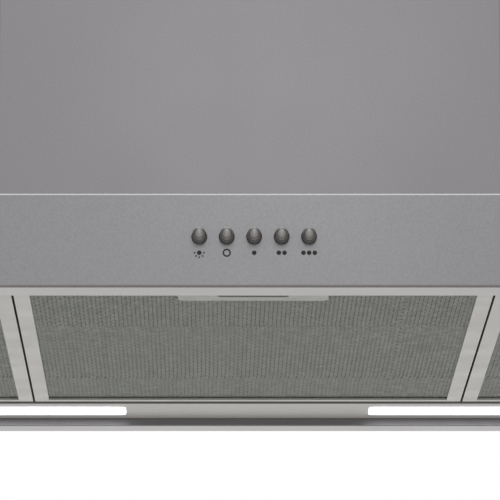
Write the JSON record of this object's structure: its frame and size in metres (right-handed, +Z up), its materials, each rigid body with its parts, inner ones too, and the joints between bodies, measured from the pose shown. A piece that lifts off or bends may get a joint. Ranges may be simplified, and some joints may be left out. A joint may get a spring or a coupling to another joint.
{
  "type": "chimney range hood",
  "caption": "Wall-mounted chimney range hood: a slim steel canopy with push buttons in its front, drop-down mesh grease filters and long lamps below, and a telescopic box flue.",
  "frame": {"origin": "on the wall plane, in the middle of the hood's width, level with the canopy's bottom rim", "axes": "+X to the right seen from the front, +Y to the wall, +Z up"},
  "size_m": [0.9, 0.5093, 0.6272],
  "materials": {
    "canopy_steel": "satin silver enamel on folded sheet steel",
    "flue_steel": "satin silver enamel on folded sheet steel",
    "zinc_steel": "zinc-coated sheet steel",
    "lamp_diffuser": "white diffuser plastic, lit from inside",
    "circuit_board": "green board lacquer",
    "black_plastic": "black moulded plastic",
    "grey_plastic": "light grey moulded plastic",
    "spring_steel": "bright spring steel",
    "motor_paint": "black baked enamel",
    "black_rubber": "soft black rubber",
    "screw_steel": "bright plated steel",
    "wheel_plastic": "dark grey moulded plastic",
    "shaft_steel": "ground steel",
    "flap_plastic": "black moulded plastic",
    "button_metal": "satin turned aluminium",
    "filter_steel": "satin folded aluminium",
    "net_aluminium": "expanded aluminium net",
    "core_aluminium": "packed layers of expanded aluminium",
    "handle_steel": "satin pressed aluminium"
  },
  "bodies": {
    "canopy": {"canopy_shell": "canopy_steel", "canopy_top": "zinc_steel", "back_panel": "zinc_steel", "light_panel": "canopy_steel", "lamp_lens_left": "lamp_diffuser", "lamp_lens_right": "lamp_diffuser", "lamp_boards": "circuit_board", "lamp_driver": "black_plastic", "latch_rail": "zinc_steel", "hinge_clips": "zinc_steel", "switch_housing": "black_plastic", "switch_board": "circuit_board", "button_springs": "spring_steel", "capacitor": "grey_plastic", "terminal_box": "grey_plastic", "cable_gland": "black_plastic", "inlet_guard": "black_plastic", "motor_box": "zinc_steel", "blower_housing_left": "black_plastic", "blower_housing_right": "black_plastic", "fan_motor": "motor_paint", "motor_bushes": "black_rubber", "motor_bracket": "zinc_steel", "duct_adaptor": "black_plastic", "flap_pins": "spring_steel", "lower_flue": "flue_steel", "canopy_screws": "screw_steel"},
    "fan": {"fan_wheel": "wheel_plastic", "motor_shaft": "shaft_steel"},
    "front_flap": {"flap_front": "flap_plastic"},
    "rear_flap": {"flap_rear": "flap_plastic"},
    "upper_cover": {"upper_flue": "flue_steel", "flue_bracket": "zinc_steel", "flue_screws": "screw_steel"},
    "button_light_body": {"button_light": "button_metal"},
    "button_off_body": {"button_off": "button_metal"},
    "button_low_body": {"button_low": "button_metal"},
    "button_medium_body": {"button_medium": "button_metal"},
    "button_high_body": {"button_high": "button_metal"},
    "filter_left": {"filter_frame_left": "filter_steel", "filter_net_left": "net_aluminium", "filter_core_left": "core_aluminium", "filter_handle_left": "handle_steel", "latch_spring_left": "spring_steel"},
    "latch_left": {"latch_slider_left": "black_plastic", "latch_blade_left": "spring_steel"},
    "filter_middle": {"filter_frame_middle": "filter_steel", "filter_net_middle": "net_aluminium", "filter_core_middle": "core_aluminium", "filter_handle_middle": "handle_steel", "latch_spring_middle": "spring_steel"},
    "latch_middle": {"latch_slider_middle": "black_plastic", "latch_blade_middle": "spring_steel"},
    "filter_right": {"filter_frame_right": "filter_steel", "filter_net_right": "net_aluminium", "filter_core_right": "core_aluminium", "filter_handle_right": "handle_steel", "latch_spring_right": "spring_steel"},
    "latch_right": {"latch_slider_right": "black_plastic", "latch_blade_right": "spring_steel"}
  },
  "joints": [
    {"name": "press_light", "type": "slide", "parent": "canopy", "child": "button_light_body", "axis": [0, 1, 0], "range_m": [0, 0.003], "stiffness_N_per_m": 400, "springref_m": -0.003, "deforming": ["button_springs"]},
    {"name": "press_off", "type": "slide", "parent": "canopy", "child": "button_off_body", "axis": [0, 1, 0], "range_m": [0, 0.003], "stiffness_N_per_m": 400, "springref_m": -0.003},
    {"name": "press_low", "type": "slide", "parent": "canopy", "child": "button_low_body", "axis": [0, 1, 0], "range_m": [0, 0.003], "stiffness_N_per_m": 400, "springref_m": -0.003},
    {"name": "press_medium", "type": "slide", "parent": "canopy", "child": "button_medium_body", "axis": [0, 1, 0], "range_m": [0, 0.003], "stiffness_N_per_m": 400, "springref_m": -0.003},
    {"name": "press_high", "type": "slide", "parent": "canopy", "child": "button_high_body", "axis": [0, 1, 0], "range_m": [0, 0.003], "stiffness_N_per_m": 400, "springref_m": -0.003},
    {"name": "open_filter_left", "type": "hinge", "parent": "canopy", "child": "filter_left", "pos_m": [-0.286, -0.0832, 0.009], "axis": [1, 0, 0], "range_deg": [0, 70], "deforming": ["latch_blade_left"]},
    {"name": "draw_latch_left", "type": "slide", "parent": "filter_left", "child": "latch_left", "axis": [0, 1, 0], "range_m": [0, 0.006], "stiffness_N_per_m": 300, "springref_m": -0.004, "deforming": ["latch_spring_left"]},
    {"name": "open_filter_middle", "type": "hinge", "parent": "canopy", "child": "filter_middle", "pos_m": [0, -0.0832, 0.009], "axis": [1, 0, 0], "range_deg": [0, 70], "deforming": ["latch_blade_middle"]},
    {"name": "draw_latch_middle", "type": "slide", "parent": "filter_middle", "child": "latch_middle", "axis": [0, 1, 0], "range_m": [0, 0.006], "stiffness_N_per_m": 300, "springref_m": -0.004, "deforming": ["latch_spring_middle"]},
    {"name": "open_filter_right", "type": "hinge", "parent": "canopy", "child": "filter_right", "pos_m": [0.286, -0.0832, 0.009], "axis": [1, 0, 0], "range_deg": [0, 70], "deforming": ["latch_blade_right"]},
    {"name": "draw_latch_right", "type": "slide", "parent": "filter_right", "child": "latch_right", "axis": [0, 1, 0], "range_m": [0, 0.006], "stiffness_N_per_m": 300, "springref_m": -0.004, "deforming": ["latch_spring_right"]},
    {"name": "fan_spin", "type": "hinge", "parent": "canopy", "child": "fan", "pos_m": [0, -0.143, 0.196], "axis": [1, 0, 0], "continuous": true},
    {"name": "front_flap_swing", "type": "hinge", "parent": "canopy", "child": "front_flap", "pos_m": [0, -0.093, 0.3622], "axis": [-1, 0, 0], "range_deg": [0, 75]},
    {"name": "rear_flap_swing", "type": "hinge", "parent": "canopy", "child": "rear_flap", "pos_m": [0, -0.085, 0.3622], "axis": [1, 0, 0], "range_deg": [0, 75]},
    {"name": "extend_upper_flue", "type": "slide", "parent": "canopy", "child": "upper_cover", "axis": [0, 0, 1], "range_m": [0, 0.326]}
  ]
}
